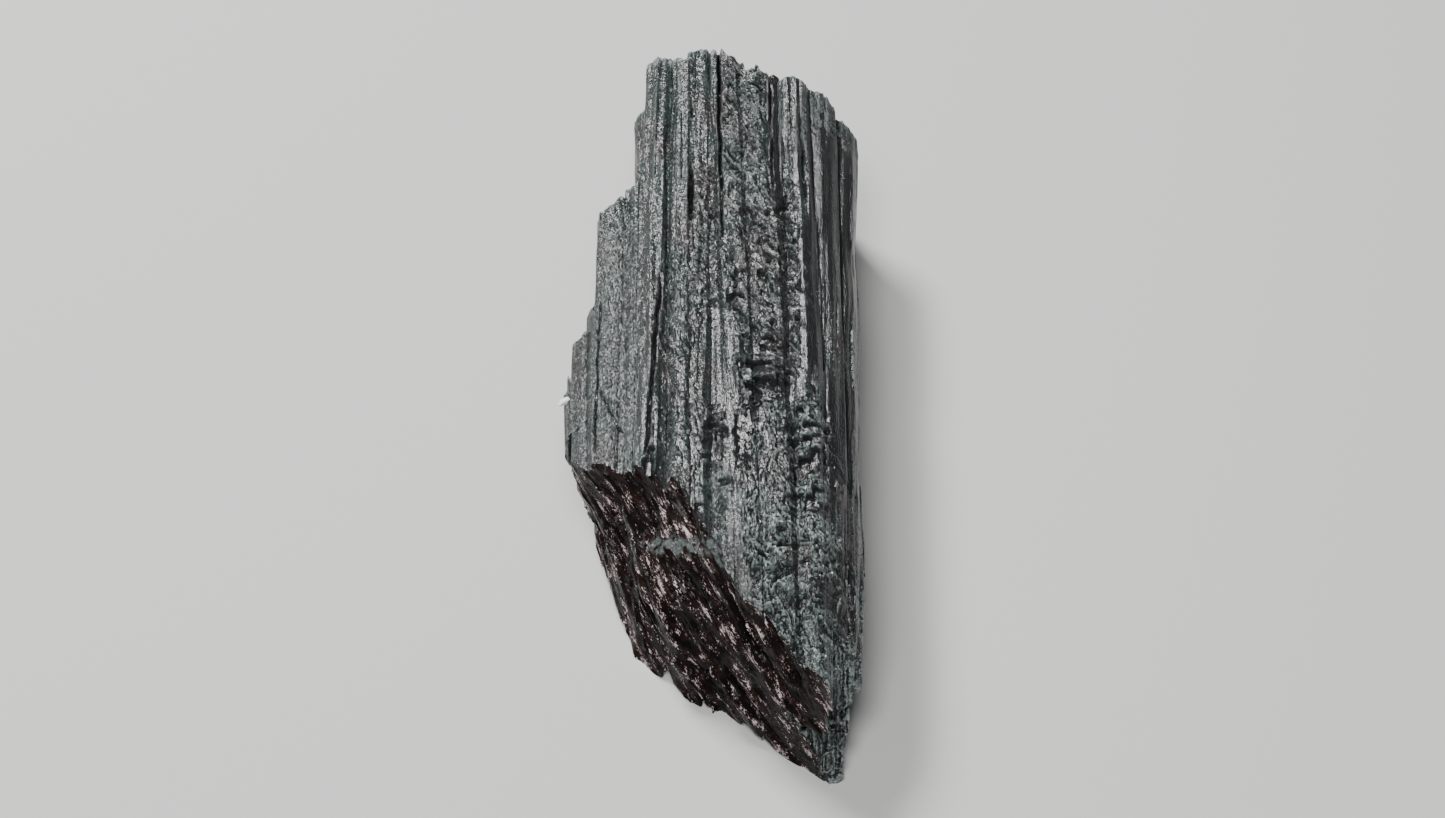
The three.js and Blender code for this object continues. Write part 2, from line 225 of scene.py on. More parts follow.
# Where the upper side is etched: x and y of the middle, half sizes, strength, turn of the pattern
# in degrees, its length and width, and its relief, which is under 0 for scoops in place of scales.
ETCHED = [
    (-11.6, 2.0, 4.6, 20.0, 0.75, -82, 0.55, 0.24, 0.08),
    (2.1, 27.0, 2.5, 11.5, 1.0, -38, 2.0, 0.75, 0.45),
    (4.4, 8.0, 4.6, 14.0, 1.0, -48, 1.6, 0.70, 0.42),
    (-1.6, 12.0, 2.0, 12.0, 0.9, -65, 0.7, 0.45, 0.22),
    (-4.4, 3.0, 2.4, 9.0, 0.8, -75, 1.2, 0.36, 0.18),
    (-3.6, -11.0, 2.6, 8.0, 0.8, -70, 0.8, 0.36, 0.15),
    (10.6, 28.6, 2.6, 4.0, 0.9, -60, 0.8, 0.50, 0.15),
    (3.2, -19.0, 1.8, 9.0, 1.0, -88, 1.0, 0.28, 0.16),
    (4.0, -4.6, 2.8, 4.6, 1.0, -35, 2.0, 1.0, -0.5),
    (-0.7, -12.4, 1.3, 3.8, 1.0, -4, 1.3, 0.9, -0.35),
    (7.8, -15.4, 3.6, 8.8, 1.0, -20, 1.3, 0.8, -0.5),
    (5.2, -18.0, 1.0, 8.0, 0.9, -75, 0.65, 0.32, 0.20),
    (-0.6, -19.6, 1.8, 3.0, 0.9, -60, 1.7, 1.1, 0.35),
    (7.6, -28.0, 5.2, 7.0, 0.95, -30, 0.80, 0.6, 0.42),
    (6.6, -27.2, 1.9, 3.2, 1.0, 14, 2.0, 1.6, 0.55),
    (9.4, -28.8, 1.4, 1.7, 1.0, 2, 2.60, 0.34, 0.22),
    (8.8, -33.8, 1.4, 1.8, 1.0, -20, 1.70, 1.3, 0.35),
]

# Where grains have dropped out of the upper side, which frost_of paints darker, partly as painted
# shade: x, y, half sizes, depth, and turn in degrees.
HOLLOWS = [
    (-3.0, 29.4, 0.3, 0.8, 0.3, 0),
    (-3.2, 18.6, 0.36, 3.8, 1.0, 0),
    (1.9, -13.4, 0.95, 4.4, 0.5, 2),
    (2.4, 15.6, 0.8, 1.4, 0.4, -40),
    (6.3, 17.6, 0.5, 2.0, 0.5, -30),
    (0.9, 5.4, 0.5, 1.8, 0.4, -10),
    (-7.1, -15.2, 0.6, 2.6, 1.0, -6),
    (0.2, -17.8, 1.2, 0.5, 0.4, -12),
]

# Dark grooves between crystals, which frost_of paints darker, partly as painted shade: x and y of
# each end, half width and depth.
GROOVES = [
    (-6.1, 9.0, -7.3, -14.5, 0.16, 0.7),
    (-0.5, 38.5, -0.1, 18.0, 0.14, 0.8),
    (-0.2, 18.5, 0.0, 12.0, 0.12, 0.4),
    (8.0, 30.0, 8.3, 18.0, 0.16, 0.5),
    (4.8, 36.0, 5.1, 18.0, 0.12, 0.5),
    (-12.2, 8.0, -12.3, -12.0, 0.10, 0.3),
    (-12.2, -3.6, -9.6, -9.7, 0.16, 0.35),
]

# Sharp edges that stand out along the crystals, some of them beaded, which frost_of paints paler,
# partly as painted highlights: x and y of each end, height, and the spacing of the beads, or 0.
EDGES = [
    (-8.0, 31.0, -8.1, 19.0, 0.22, 0.9),
    (-6.9, 34.0, -7.0, 20.0, 0.14, 0.0),
    (4.6, 35.5, 4.8, 26.0, 0.16, 0.0),
    (5.9, 34.0, 6.0, 17.0, 0.16, 0.0),
    (6.8, 31.0, 6.9, 17.0, 0.24, 0.85),
    (9.4, 17.0, 9.7, -1.0, 0.18, 0.0),
    (11.5, 14.0, 11.4, -4.0, 0.16, 0.0),
    (12.9, 6.0, 12.8, -4.0, 0.22, 1.0),
    (3.0, -18.0, 3.2, -28.0, 0.22, 0.0),
    (12.6, -8.0, 12.4, -21.0, 0.14, 0.0),
]


def along_line(x, y, x0, y0, x1, y1, seed):
    """For a line that wanders a little: how far each place is to its side, and a share that is 1
    along it and falls to 0 over the last tenth at each end."""
    share = (y - y0) / (y1 - y0)
    off = x - x0 - share * (x1 - x0) + 0.1 * swell(y * 0.6, y * 0, seed)
    return off, ease(0, 0.1, share) * ease(0, 0.1, 1 - share)


def patched(x, y, patches, plain):
    """The value at each place of the upper side, where the soft-edged patches are laid over one
    another on a plain value."""
    value = np.full(np.shape(x), plain)
    for at_x, at_y, half_x, half_y, lean, patch in patches:
        off = (x - at_x - lean * (y - at_y)) / half_x
        reach = np.maximum(np.abs(off), np.abs((y - at_y) / half_y))
        value = value + (patch - value) * (1 - ease(0.8, 1.1, reach + 0.15 * swell(x, y / 2, 3)))
    return value


def etching(x, y):
    """The etched relief in millimetres, and how etched and how bare each place is, 0 to 1. The
    patches have lapped scales with finer ones on them, or scoops, which slope to one side and
    are bare where they are deep, in rows that wander."""
    relief, etched, bare = (np.zeros(np.shape(x)) for _ in range(3))
    for at_x, at_y, half_x, half_y, strength, turn, long, wide, deep in ETCHED:
        reach = np.hypot((x - at_x) / half_x, (y - at_y) / half_y)
        share = strength * (1 - ease(0.75, 1.15, reach + 0.2 * swell(x * 0.9, y * 0.45, 5)))
        here = share > 0.01
        c, s = math.cos(math.radians(turn)), math.sin(math.radians(turn))
        chip_x = x[here] + 0.25 * swell(x[here] / 1.3, y[here] / 1.3, 21)
        chip_y = y[here] + 0.25 * swell(x[here] / 1.3, y[here] / 1.3, 23)
        along, across = c * chip_x + s * chip_y, c * chip_y - s * chip_x
        if deep > 0:
            pattern = deep * flakes(along / long, across / wide, 31, 1.0, -0.5)
            pattern += 0.2 * deep * facets(2.5 * along / long, 2.5 * across / wide, 37)
            floor = 0.0
        else:
            scoops = flakes(across / wide, along / long, 41, 0.7, -0.9, 16.0)
            floor = 1 - ease(-0.25, 0.05, scoops)
            pattern = -deep * scoops + 0.09 * (1 - floor) * facets(along / 0.5, across / 0.3, 37)
        relief[here] += share[here] * (pattern - relief[here])
        bare[here] += share[here] * (floor - bare[here])
        etched = np.maximum(etched, share)
    return relief, etched, bare


def hollowing(x, y):
    """How far each place lies below the upper side, in millimetres: bowls with steep sides and
    raised rims, grooves with a bell-shaped section, and sharp edges, which lie above it."""
    depth = np.zeros(np.shape(x))
    for at_x, at_y, half_x, half_y, deep, turn in HOLLOWS:
        c, s = math.cos(math.radians(turn)), math.sin(math.radians(turn))
        dx, dy = x - at_x, y - at_y
        reach = np.hypot((c * dx + s * dy) / half_x, (c * dy - s * dx) / half_y)
        reach = reach + 0.25 * swell(x * 1.5, y * 1.5, 11)
        rim = 0.2 * np.exp(-(((reach - 1.15) / 0.12) ** 2))
        depth = np.maximum(depth, deep * (1 - ease(0.35, 1.1, reach))) - deep * rim
    for x0, y0, x1, y1, half, deep in GROOVES:
        off, inside = along_line(x, y, x0, y0, x1, y1, 13)
        depth = np.maximum(depth, deep * inside * np.exp(-((off / half) ** 2)))
    for x0, y0, x1, y1, high, bead in EDGES:
        off, inside = along_line(x, y, x0, y0, x1, y1, 17)
        beads = np.abs(np.sin(math.pi * y / bead + 2 * swell(y / 3, y * 0, 19))) if bead else 1.0
        depth = depth - high * beads * inside * np.maximum(0, 1 - np.abs(off) / 0.22)
    return depth


def ribbing(around, y, seed):
    """Growth ribs in millimetres, at a distance around the crystal and a place along it: flat
    faces that end in steps, then long straight ribs and fine ones, and bars for the sides, each a
    row of facets."""
    drift = around + 0.03 * swell(y * 0.05, around * 0.4, seed)
    faces = 0.13 * flakes(drift / 1.3, y / 16, seed, 0.5)
    ribs = 0.11 * facets(drift / 0.75, y / 14, seed + 3, 0.4)
    fine = 0.05 * facets(drift / 0.33, y / 5, seed + 5, 0.5)
    bars = 0.38 * facets(drift / 1.7, y / 22, seed + 7, 0.3)
    return faces, ribs + fine, bars


def chipping(across, up, seed):
    """The chipped relief of a crystal's broken end, in millimetres."""
    large = 0.6 * flakes(across / 1.7 + seed, up / 1.7, 70, 1.0)
    return large + 0.2 * facets(across / 0.55 + seed, up / 0.55, 72)


def ring(w, h, turn, seed, squareness):
    """The corners of a crystal's section, in x and z from its middle: a superellipse with uneven
    corners, every other one standing out."""
    k = np.arange(CORNERS)
    angle = 2 * math.pi * (k + 0.5 + 0.5 * (scatter(k, seed) - 0.5)) / CORNERS
    c, s = np.cos(angle), np.sin(angle)
    boxed = (np.abs(c) ** squareness + np.abs(s) ** squareness) ** (-1 / squareness)
    rib = np.where(k % 2, 1, -1) * CORNER_RIB * (0.4 + 0.8 * scatter(k, seed + 0.5))
    a, b = (w * boxed + rib) * c, (h * boxed + rib) * s
    turned = math.radians(turn)
    return np.stack(
        [a * math.cos(turned) - b * math.sin(turned), a * math.sin(turned) + b * math.cos(turned)]
    )


def profile(corner, outward, point_step):
    """The closed profile through a section's corners: how far round it each point lies, its two
    coordinates and its outward normal. The points stand closer together where the profile faces
    outward, away from the fan's heart."""
    closed = np.concatenate([corner, corner[:, :1]], axis=1)
    dense = np.linspace(0, CORNERS, CORNERS * 40 + 1)
    outline = np.stack([np.interp(dense, np.arange(CORNERS + 1), row) for row in closed])
    steps = np.hypot(*np.diff(outline, axis=1))
    distance = np.concatenate([[0], np.cumsum(steps)])
    middles = (outline[:, 1:] + outline[:, :-1]) / 2
    facing = (outward @ middles) / np.hypot(*middles)
    weight = HIDDEN_SHARE + (1 - HIDDEN_SHARE) * ease(-0.35, 0.1, facing)
    spread = np.concatenate([[0], np.cumsum(steps * weight)])
    count = int(spread[-1] / point_step)
    place = np.interp(np.arange(count) / count * spread[-1], spread, distance)
    at = np.stack([np.interp(place, distance, row) for row in outline])
    ahead, behind = (
        np.stack([np.interp((place + reach) % distance[-1], distance, row) for row in outline])
        for reach in (TANGENT_REACH, -TANGENT_REACH)
    )
    tangent = ahead - behind
    return place, at, np.stack([tangent[1], -tangent[0]]) / np.hypot(*tangent)


def capping(ring_points, sign, slant, seed, rings):
    """Rings that close one end, from its border in: each is a smaller copy of the end ring,
    chipped and leaning at the far end, and drawn down in columns at the near one."""
    x, y, z = ring_points
    share = (1 - np.arange(1, rings + 1) / (rings + 0.5))[:, None]
    cx, cz = (x - x.mean()) * share, (z - z.mean()) * share
    if sign > 0:
        flat = slant[0] * cx + slant[1] * cz + chipping(cx, cz, seed)
    else:
        flat = POINT_LEAN * cz - 0.35 * facets(cx / 0.5, cz / 3.0, 74)
    return np.stack([x.mean() + cx, y + flat, z.mean() + cz], axis=-1)


def tube(grid):
    """A closed solid as (points, quads, triangles) from a grid of rings, with a fan of triangles
    that closes each end."""
    m, n = grid.shape[:2]
    points = np.concatenate([grid.reshape(-1, 3), grid[0].mean(0)[None], grid[-1].mean(0)[None]])
    i, j = np.arange(m - 1)[:, None] * n, np.arange(n)[None]
    ahead = (j + 1) % n
    quads = np.stack([i + j, i + n + j, i + n + ahead, i + ahead], axis=-1).reshape(-1, 4)
    j, ahead, top = j[0], ahead[0], (m - 1) * n
    first = np.stack([np.full(n, m * n), j, ahead], axis=-1)
    last = np.stack([top + ahead, top + j, np.full(n, m * n + 1)], axis=-1)
    return points, quads, np.concatenate([first, last])


def prism(
    spec,
    seed,
    overlap=0.0,
    row_step=0.24,
    point_step=0.12,
    rib_share=1.0,
    rings=18,
    squareness=SQUARENESS,
):
    """One crystal as (points, quads, triangles): a closed profile carried along y, with capped
    ends.

    It is wider than its spec by an overlap, which its neighbours cover. The ribs are added along
    the profile's outward normal, and the etching and hollows upwards, so that they run on from
    crystal to crystal. The rings near the far end lean into the slanting break there."""
    (x_far, x_near), z, w, h, turn, far, slant, *own_near = spec
    near = own_near[0] if own_near else BREAK_END
    corner = ring(w + overlap, h, turn, seed, squareness)
    outward = np.array([SIDEWAYS * (x_far + x_near) / 2 - HEART[0] * SIDEWAYS, z - HEART[1]])
    outward /= np.hypot(*outward)
    place, (a, b), normal = profile(corner, outward, point_step)
    count = len(place)

    rows = int((far - near) / row_step)
    y = np.linspace(near, far, rows)[:, None] * np.ones(count)
    lean = (FAR_STATION - y) / (FAR_STATION - NEAR_STATION)
    line_x = x_far + (x_near - x_far) * lean + 0.1 * swell(y / 8, y * 0, seed)
    line_z = z + 0.16 * swell(y / 6, y * 0, seed + 40)
    base_x = line_x + a
    base_z = line_z + b - taper(y) * ease(4, 14, z + b)
    on_top = ease(9, 13, base_z)
    frost = patched(base_x, y, FROSTED, PLAIN)
    rough = 0.2 + 0.8 * ease(0.05, 0.35, PLAIN + (frost - PLAIN) * on_top)
    faces, ribs, bars = ribbing(place * np.ones_like(y), y, seed)
    chips, etched, _ = etching(base_x, y)
    relief = faces + rib_share * rough * ribs * (1 - 0.8 * etched * on_top) + (1 - on_top) * bars
    x = base_x + normal[0] * relief
    zz = base_z + normal[1] * relief
    zz = zz + on_top * (rough * chips - hollowing(x, y))

    end = ease(far - END_ZONE, far, y)
    yy = y + end * (slant[0] * a + slant[1] * b + chipping(a, b, seed))
    yy = yy + (1 - ease(near, near + NEAR_ZONE, y)) * POINT_LEAN * b

    wall = np.stack([x, yy, zz], axis=-1)
    near_cap, far_cap = (
        capping((x[row], y[row], zz[row]), sign, slant, seed, rings)
        for row, sign in ((0, -1), (-1, 1))
    )
    return tube(np.concatenate([near_cap[::-1], wall, far_cap]))


def make_object(name, points, *face_sets):
    """An object with its place in its mesh, from points in the table's millimetres and arrays of
    faces, each with one corner count."""
    mesh = bpy.data.meshes.new(name)
    mesh.vertices.add(len(points))
    mesh.vertices.foreach_set("co", ((points - MIDDLE) * METRES).ravel())
    corners = np.concatenate([faces.ravel() for faces in face_sets])
    counts = np.concatenate([np.full(len(faces), faces.shape[1]) for faces in face_sets])
    mesh.loops.add(len(corners))
    mesh.loops.foreach_set("vertex_index", corners.astype(np.int32))
    mesh.polygons.add(len(counts))
    starts = np.concatenate([[0], np.cumsum(counts)[:-1]])
    mesh.polygons.foreach_set("loop_start", starts.astype(np.int32))
    mesh.update(calc_edges=True)
    made = bpy.data.objects.new(name, mesh)
    bpy.context.scene.collection.objects.link(made)
    return made


def slab(front, back):
    """A closed solid as (points, quads) between two grids of places that have the same shape."""
    columns, rows = front.shape[:2]
    i, j = np.arange(columns - 1)[:, None] * rows, np.arange(rows - 1)[None]
    quads = np.stack([i + j, i + j + 1, i + rows + j + 1, i + rows + j], -1).reshape(-1, 4)
    index = np.arange(columns * rows).reshape(columns, rows)
    border = np.concatenate([index[:, 0], index[-1, 1:], index[-2::-1, -1], index[0, -2:0:-1]])
    ahead = np.roll(border, -1)
    strip = np.stack([ahead, border, border + index.size, ahead + index.size], -1)
    points = np.concatenate([front.reshape(-1, 3), back.reshape(-1, 3)])
    return points, np.concatenate([quads[:, ::-1], quads + index.size, strip])


crystals = []
for group, options in (
    (LEFT_BLOCKS, dict(rib_share=0.9)),
    (UPPER_SIDE, dict(overlap=0.55)),
    (FLANK_AND_UNDERSIDE, dict(row_step=0.4, point_step=0.16)),
    (HEART_CRYSTALS, dict(row_step=6.0, point_step=0.2, rings=28)),
):
    for spec in group:
        number = len(crystals) + 1
        crystals.append(make_object(f"crystal_{number}", *prism(spec, number, **options)))

# ---------------------------------------- the stubs on the flanks
# Stubs of further crystals of the same schorl stand out of both flanks. They are short, ribbed
# like the rest and broken at both ends, and are grown into the crystals beside them.

STUBS = [
    ((12.1, 12.1), 9.4, 1.2, 1.9, -24, -13.2, (0.9, 0.6), -22.4),
    ((12.4, 12.6), 9.6, 1.2, 1.7, 14, 28.4, (0.7, 0.8), 18.4),
    ((12.4, 12.3), 6.2, 1.2, 1.5, -18, 13.6, (0.8, 0.5), 0.6),
    ((12.0, 11.6), 3.4, 1.3, 1.3, 20, 4.6, (0.6, 0.7), -14.6),
    ((-13.6, -13.5), 7.6, 1.3, 1.6, 16, 1.4, (-0.8, -0.3), -6.2),
    ((-12.6, -12.7), 3.2, 1.2, 1.5, -12, 4.4, (-0.7, 0.2), -8.6),
    ((-14.3, -14.2), 11.6, 1.3, 2.3, -4, -1.8, (-0.8, 0.4), -8.2),
    ((-9.8, -9.9), 6.6, 1.3, 1.6, 18, 19.2, (-0.7, 0.8), 6.0),
]

for number, spec in enumerate(STUBS, 51):
    crystals.append(make_object(f"stub_{number}", *prism(spec, number, squareness=2.4)))


# ---------------------------------------- the point
# Right of the break the same crystals end in a narrow slanting face that leans back as it rises.
# It is natural schorl too, frosted, and steps down in columns to a crumbly point.

POINT_X, POINT_Z = (8.0, 11.7), (-0.6, 12.2)  # its two sides, and its foot and top
POINT_TOP_Y = -33.1
POINT_GRID = 0.12
POINT_MIDDLE, POINT_DEPTH = 9.3, 5.0  # its middle x, and how deep it is
POINT_BACK = 0.6  # its width at its back, as a share of its width in front


def point_of_fan():
    """The face as a slab that narrows to its back: flakes and facets drawn out up the face, both
    upper corners and the right foot drawn back, and crumbs at the foot."""
    steps = [int((high - low) / POINT_GRID) for low, high in (POINT_X, POINT_Z)]
    across, up = (np.linspace(*span, n) for span, n in zip((POINT_X, POINT_Z), steps))
    x, z = np.meshgrid(across, up, indexing="ij")
    columns = 0.3 * flakes(x / 0.7, z / 5, 120, 0.8) + 0.14 * facets(x / 0.32, z / 2.2, 124)
    crumbs = 0.25 * facets(x / 0.7, z / 0.8, 128) * (1 - ease(1.0, 3.0, z))
    drawn_back = 1.4 * ease(10.4, 12.2, z) + 1.6 * ease(10.9, 11.7, x)
    drawn_back = drawn_back + 2.0 * ease(10.6, 12.0, x) * (1 - ease(0.0, 2.4, z))
    y = POINT_TOP_Y - POINT_LEAN * (POINT_Z[1] - z) - columns - crumbs + drawn_back
    back_x = POINT_MIDDLE + POINT_BACK * (x - POINT_MIDDLE)
    return slab(np.stack([x, y, z], -1), np.stack([back_x, y + POINT_DEPTH, z], -1))


crystals.append(make_object("point", *point_of_fan()))


# ---------------------------------------- the near break
# The near end is one steep break across all the crystals, freshly black and brown, rough with
# ledges and slivers that dip towards the point. A frosted shelf stands out below its upper edge.
# It is cut with a block that has the broken face on its inner side.

BREAK_EDGE = [
    (-17, -7.2, 13), (-13.5, -12.4, 15), (-9.6, -13.8, 17), (-5.6, -16.4, 20),
    (-1.5, -22.5, 20), (2.2, -28.8, 19.5), (6.0, -33.2, 17), (9.3, -36.2, 12.5), (14, -42.5, 11),
]
BREAK_FOOT = [
    (-15.6, -5.3, 0), (-12.6, -12.2, 0), (-11.2, -17.8, 0), (-8.7, -24.5, 0),
    (-4.2, -28.9, 0), (0.4, -31.6, 0), (5.3, -35.7, 0), (9.8, -38.9, 0), (14, -43.5, 0),
]
BREAK_OUT = np.array([-0.73, -0.68, 0.0])  # the way that the break faces
BREAK_LENGTH, BREAK_HEIGHT = 46.0, 20.0
BREAK_GRID = 0.15
BREAK_PAST = 0.25  # how far the block reaches over and under the break, as a share of its height
BREAK_DEPTH = 50.0  # how thick the block is
SETTLING = 12  # rounds in which a place on the break is worked out ever more closely
SHELF_ALONG = (0.37, 0.52, 0.67)  # shares of the length of the break at which its line bends
SHELF_BELOW = (0.36, 0.06, -0.02)  # how far down the break it lies there, as shares of the height
SHELF_REACH, SHELF_DROP = 1.2, 0.8  # how far it stands out, and how far its top slopes down
DIP_LEFT, DIP_RIGHT = 1.2, 0.27  # how steeply the slivers dip at the two ends of the break


def shelf_at(s, t):
    """How far below the shelf's upper line each place is, in millimetres, and a share that is 1
    along the shelf and falls to 0 at its ends."""
    down = (t - np.interp(s, SHELF_ALONG, SHELF_BELOW)) * BREAK_HEIGHT
    down = down + 0.3 * facets(s * BREAK_LENGTH / 0.6, t * BREAK_HEIGHT / 2, 83)
    first, *_, last = SHELF_ALONG
    return down, ease(first, first + 0.015, s) * (1 - ease(last - 0.03, last, s))


def broken_relief(s, t):
    """How far the broken face stands out, in millimetres, at a share s along it and t down it:
    the shelf, and three sizes of flakes in lines that dip by DIP. Each flake draws back as it
    goes down, so that the next one below it stands out in a ledge."""
    u, v = s * BREAK_LENGTH, t * BREAK_HEIGHT
    dipped = v - DIP_LEFT * u + (DIP_LEFT - DIP_RIGHT) * u * u / (2 * BREAK_LENGTH)
    dipped = dipped + 0.4 * swell(u / 4, v / 3, 80)
    down, there = shelf_at(s, t)
    shelf = SHELF_REACH * ease(0, SHELF_DROP, down) * (1 - ease(0.5, 1.0, t))
    shelf = shelf * ease(0.24, 0.46, s) * (1 - 0.8 * ease(0.46, 0.62, s)) * (1 - ease(0.6, 0.75, s))
    wide = 0.6 * flakes(u / 4.5, dipped / 2.2, 82, 0.8, 0.9)
    slivered = 0.2 + 0.8 * ease(-0.2, 0.4, swell(u / 2.6, dipped / 1.4, 85))
    slivers = 0.28 * flakes(u / 2.0, dipped / 0.75, 88, 1.0, 0.8, 7.0)
    splinters = 0.05 * facets(u / 0.7, dipped / 0.34, 94, 1.0, -0.6)
    rough = wide + slivered * (slivers + splinters)
    rough = rough * (0.1 + 0.9 * ease(0.06, 0.26, s)) * (1 - 0.85 * ease(0.7, 0.88, s))
    rough = rough * (0.45 + 0.55 * ease(0.0, 0.25, t)) * (1 - 0.5 * ease(0.55, 0.95, t))
    return shelf + rough - 0.1 * ease(0.5, 0.9, t)


def break_block():
    """The block in front of the break: one grid on the broken face, the same grid without relief
    moved out by its depth, and a strip that joins their borders."""
    columns = int(BREAK_LENGTH / BREAK_GRID)
    rows = int((1 + 2 * BREAK_PAST) * BREAK_HEIGHT / BREAK_GRID)
    down = np.linspace(-BREAK_PAST, 1 + BREAK_PAST, rows)
    s, t = np.meshgrid(np.linspace(0, 1, columns), down, indexing="ij")
    knots = np.linspace(0, 1, len(BREAK_EDGE))
    edge = np.stack([np.interp(s, knots, axis) for axis in np.array(BREAK_EDGE, float).T], -1)
    foot = np.stack([np.interp(s, knots, axis) for axis in np.array(BREAK_FOOT, float).T], -1)
    face = edge + (foot - edge) * t[..., None]
    inner = face + BREAK_OUT * broken_relief(s, t)[..., None]
    outer = face + BREAK_OUT * BREAK_DEPTH
    return slab(inner, outer)


def break_place(at):
    """The shares s and t of points on the broken face. Its relief only moves them along
    BREAK_OUT, so t follows from the height of a point, and s from its place across that way."""
    across = np.array([-BREAK_OUT[1], BREAK_OUT[0], 0.0])
    knots = np.linspace(0, 1, len(BREAK_EDGE))
    edge, foot = np.array(BREAK_EDGE, float), np.array(BREAK_FOOT, float)
    s = np.full(len(at), 0.5)
    for _ in range(SETTLING):
        t = 1 - at[:, 2] / np.interp(s, knots, edge[:, 2])
        moved = t * np.interp(s, knots, (foot - edge) @ across)
        s = np.interp(at @ across - moved, edge @ across, knots)
    return s, t


# ---------------------------------------- the whole fan
# The crystals and stubs, joined, with the break cut across them and the underside worn flat where
# it rests. The one surface that results is the whole specimen but for its grain of feldspar.

TRIANGLES = 192_000  # how many the joined fan keeps
CREASE = math.radians(26)  # sharper edges than this stay sharp in the shading

SMOOTH_BLACK = (0.010, 0.0105, 0.0115)  # clean schorl
FROST_GREY = (0.036, 0.052, 0.049)  # its surface where it is etched dull
FROST_WARM = (0.052, 0.043, 0.045)  # the same with a brownish film
SHELF_GREY = (0.075, 0.088, 0.088)  # the frosted shelf on the break
WORN_AND_HIGHLIGHT_PALE = (0.18, 0.215, 0.21)  # its most worn edges, and painted highlights on ridges and where it glints
FRESH_BLACK = (0.006, 0.0045, 0.0042)  # freshly broken schorl
FRESH_BROWN = (0.022, 0.011, 0.009)  # its thin splinters, which let some light through
BRUISE_AND_GLINT_PALE = (0.60, 0.50, 0.50)  # bruised edges of ledges, partly painted glints
STONE_INDEX = 1.63  # schorl's index of refraction
SLIVER_TURN = (0, 24, -53)  # turns the x axis, in degrees, to lie along the slivers of the break


def box_below(z):
    """A box whose top is at z, wide and long enough to cut the whole underside flat."""
    corners = [(x, y, h) for x in (-60, 60) for y in (-90, 90) for h in (z - 30, z)]
    faces = [(0, 1, 3, 2), (4, 6, 7, 5), (0, 4, 5, 1), (2, 3, 7, 6), (0, 2, 6, 4), (1, 5, 7, 3)]
    return np.array(corners, float), np.array(faces)


def evaluated(piece):
    """The mesh of an object with its modifiers applied."""
    graph = bpy.context.evaluated_depsgraph_get()
    return bpy.data.meshes.new_from_object(piece.evaluated_get(graph))


def join(name, parts, cutters):
    """One object from the union of the parts, less each cutter, thinned to TRIANGLES. Only its
    largest piece is kept, so no loose splinter stays beside it."""
    whole, *others = parts
    added = bpy.data.collections.new("parts")
    for part in others:
        added.objects.link(part)
    union = whole.modifiers.new("join", "BOOLEAN")
    union.operation = "UNION"
    union.operand_type = "COLLECTION"
    union.collection = added
    union.solver = "MANIFOLD"
    for cutter in cutters:
        cut = whole.modifiers.new("cut", "BOOLEAN")
        cut.operation = "DIFFERENCE"
        cut.object = cutter
        cut.solver = "MANIFOLD"
        cut.material_mode = "TRANSFER"
    made = bpy.data.objects.new(name, evaluated(whole))
    bpy.context.scene.collection.objects.link(made)
    made.data.calc_loop_triangles()
    thin = made.modifiers.new("thin", "DECIMATE")
    thin.ratio = min(1.0, TRIANGLES / len(made.data.loop_triangles))
    made.data = evaluated(made)
    made.modifiers.clear()
    bpy.ops.object.select_all(action="DESELECT")
    bpy.context.view_layer.objects.active = made
    made.select_set(True)
    bpy.ops.mesh.separate(type="LOOSE")
    pieces = sorted(bpy.context.selected_objects, key=lambda piece: len(piece.data.vertices))
    made = pieces.pop()
    made.name = name
    made.data.set_sharp_from_angle(angle=CREASE)
    for scrap in [*parts, *cutters, *pieces]:
        bpy.data.objects.remove(scrap)
    bpy.data.collections.remove(added)
    return made


def read(items, key, width=1, kind=np.float32):
    """A property of a mesh's points, edges, corners or faces as an array, in rows of a width."""
    values = np.empty(len(items) * width, kind)
    items.foreach_get(key, values)
    return values.reshape(-1, width) if width > 1 else values


def standing_out_of(mesh, at, normal):
    """How much each point stands out: the mean of the steps down to its neighbours, each as a
    share of its length."""
    a, b = read(mesh.edges, "vertices", 2, np.int32).T
    step = at[b] - at[a]
    step /= np.linalg.norm(step, axis=1)[:, None] + 1e-9
    down = np.bincount(a, -(step * normal[a]).sum(1), len(at))
    down += np.bincount(b, (step * normal[b]).sum(1), len(at))
    neighbours = np.bincount(a, minlength=len(at)) + np.bincount(b, minlength=len(at))
    return down / np.maximum(neighbours, 1)


def frost_of(x, y, z, on_top):
    """How frosted the skin is. On the upper side it is as mapped, but less in hollows and more
    on sharp edges, which paints hollows darker, partly as painted shade, and edges paler, partly as
    painted highlights. It comes and goes along the flanks, and is full at the point, raised there
    past full as a painted highlight."""
    depth = hollowing(x, y)
    hollow = np.maximum(ease(0.15, 0.5, depth), etching(x, y)[2])
    mapped = patched(x, y, FROSTED, PLAIN) * (1 - 0.85 * hollow)
    mapped = np.maximum(mapped, ease(0.04, 0.12, -depth))
    flanks = PLAIN - 0.08 + 0.35 * swell((z + x / 2) / 1.7, y / 9, 7)
    # The point's frost goes past full, which paints it paler: painted highlight.
    at_point = 1.5 * ease(30, 33, -y) * ease(4, 8, x)
    return np.maximum(on_top * mapped + (1 - on_top) * flanks, at_point)


